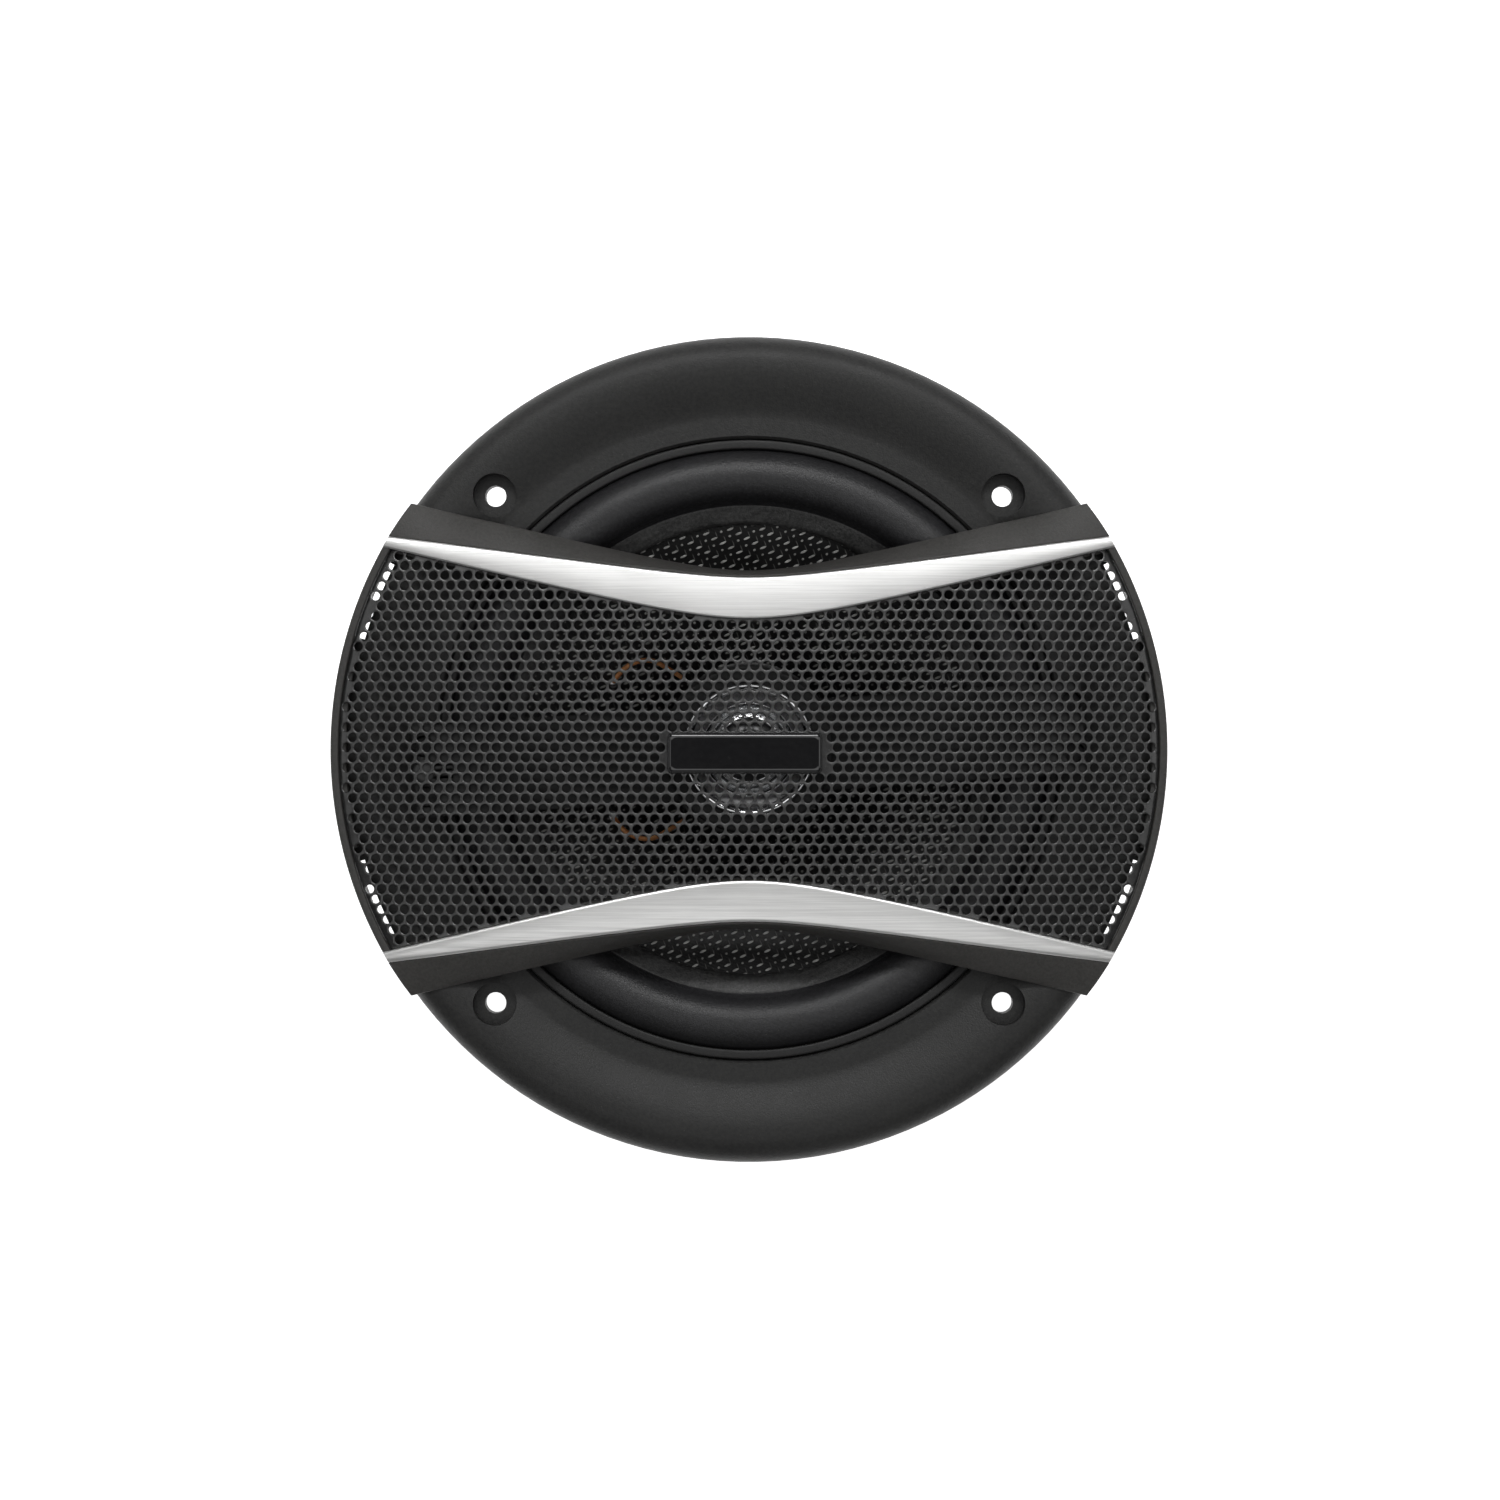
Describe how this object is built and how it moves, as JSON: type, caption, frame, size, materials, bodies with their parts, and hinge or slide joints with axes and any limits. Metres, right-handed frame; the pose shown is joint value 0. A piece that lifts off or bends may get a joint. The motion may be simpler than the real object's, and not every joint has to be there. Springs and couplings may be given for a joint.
{
  "type": "coaxial car speaker",
  "caption": "Round coaxial loudspeaker for a vehicle door: woven cone, bridge-mounted dome tweeter, ferrite motor and a perforated bow-tie grille bar with bright trims.",
  "frame": {"origin": "centre of the mounting screws' circle in the plane of the flange's rear face", "axes": "+Z is the speaker's axis, out of its front; +Y runs up across the grille bar, +X along it"},
  "size_m": [0.1658, 0.165, 0.0666],
  "materials": {
    "flange_plastic": "fine-grained satin black moulded plastic",
    "grille_plastic": "satin black moulded plastic",
    "mesh_steel": "perforated steel sheet with dark satin paint",
    "bright_trim": "brushed bright aluminium",
    "badge_gloss": "blank gloss black",
    "basket_paint": "black powder-coated pressed steel",
    "screw_steel": "zinc plated screws",
    "gasket_board": "dark fibre gasket ring",
    "surround_rubber": "satin butyl rubber half-roll",
    "woven_cone": "coated black woven fibre cone",
    "dust_cap_cloth": "coated woven fibre dome",
    "spider_cloth": "corrugated resin-dipped cotton",
    "former_film": "amber film coil former",
    "copper_winding": "enamelled copper winding",
    "copper_lead": "bare copper lead wires",
    "eyelet_brass": "brass eyelets with solder",
    "tinsel_braid": "braided tinsel leads",
    "plated_steel": "zinc plated steel plates",
    "ferrite": "dark grey sintered ferrite",
    "rivet_steel": "steel rivets",
    "board_laminate": "brown phenolic paper board",
    "terminal_brass": "tinned brass spade tabs",
    "capacitor_sleeve": "blue sleeved capacitor without print",
    "bridge_plastic": "matte black moulded plastic",
    "bezel_chrome": "bright plated ring",
    "faceplate_grey": "textured grey paint",
    "diaphragm_film": "thin grey film half-roll",
    "dome_metal": "satin metal dome",
    "neodymium": "nickel plated magnet",
    "lead_insulation": "insulated tweeter wires"
  },
  "bodies": {
    "chassis": {"flange_ring": "flange_plastic", "grille_frame": "grille_plastic", "grille_mesh": "mesh_steel", "upper_trim": "bright_trim", "lower_trim": "bright_trim", "badge": "badge_gloss", "basket": "basket_paint", "basket_screws": "screw_steel", "surround_gasket": "gasket_board", "surround": "surround_rubber", "spider": "spider_cloth", "upper_tinsel_lead": "tinsel_braid", "lower_tinsel_lead": "tinsel_braid", "top_plate": "plated_steel", "magnet": "ferrite", "back_plate": "plated_steel", "basket_rivets": "rivet_steel", "terminal_board": "board_laminate", "positive_terminal": "terminal_brass", "negative_terminal": "terminal_brass", "terminal_rivets": "rivet_steel", "crossover_capacitor": "capacitor_sleeve", "tweeter_bridge": "bridge_plastic", "bridge_screws": "screw_steel", "tweeter_housing": "bridge_plastic", "tweeter_bezel": "bezel_chrome", "tweeter_faceplate": "faceplate_grey", "tweeter_clamp_ring": "bezel_chrome", "tweeter_surround": "diaphragm_film", "tweeter_pole_plate": "plated_steel", "tweeter_magnet": "neodymium", "tweeter_yoke": "plated_steel", "tweeter_leads": "lead_insulation"},
    "cone_assembly": {"cone": "woven_cone", "dust_cap": "dust_cap_cloth", "voice_coil_former": "former_film", "voice_coil": "copper_winding", "upper_coil_lead": "copper_lead", "lower_coil_lead": "copper_lead", "lead_eyelets": "eyelet_brass"},
    "tweeter_diaphragm": {"tweeter_dome": "dome_metal", "tweeter_coil": "copper_winding"}
  },
  "joints": [
    {"name": "cone_travel", "type": "slide", "parent": "chassis", "child": "cone_assembly", "axis": [0, 0, 1], "range_m": [-0.003, 0.003], "stiffness_N_per_m": 2000, "deforming": ["surround", "spider", "upper_tinsel_lead", "lower_tinsel_lead"]},
    {"name": "dome_travel", "type": "slide", "parent": "chassis", "child": "tweeter_diaphragm", "axis": [0, 0, 1], "range_m": [-0.00025, 0.00025], "stiffness_N_per_m": 400, "deforming": ["tweeter_surround"]}
  ]
}
